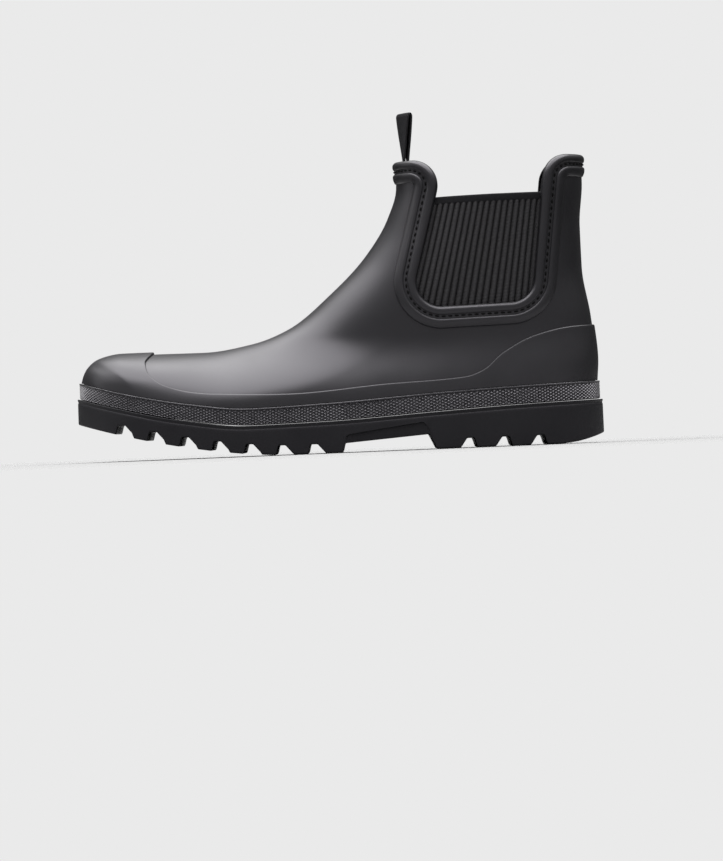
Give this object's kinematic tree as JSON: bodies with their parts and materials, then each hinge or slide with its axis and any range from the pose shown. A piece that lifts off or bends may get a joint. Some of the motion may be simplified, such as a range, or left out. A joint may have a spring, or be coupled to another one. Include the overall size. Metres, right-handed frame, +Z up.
{
  "type": "rubber boot",
  "caption": "Ankle-high slip-on rubber boot with elastic side gussets, beaded collar trim, front pull loop, toe cap, textured foxing band and lugged outsole; hollow, open at the collar.",
  "frame": {"origin": "on the floor, under the middle of the outsole's outline", "axes": "+X from toe to heel, +Y from the outer side to the inner side of the foot, +Z up"},
  "size_m": [0.2998, 0.1058, 0.1908],
  "materials": {
    "upper_rubber": "satin black moulded rubber",
    "sole_rubber": "matte black moulded rubber",
    "elastic": "ribbed black elastic webbing",
    "webbing": "woven black tape",
    "insole_cloth": "black knitted cloth"
  },
  "bodies": {
    "root": {"outsole": "sole_rubber", "foxing_band": "sole_rubber", "upper": "upper_rubber", "toe_cap_rand": "upper_rubber", "collar_trim": "upper_rubber", "gusset_outer": "elastic", "gusset_inner": "elastic", "pull_loop": "webbing", "insole": "insole_cloth"}
  },
  "joints": []
}
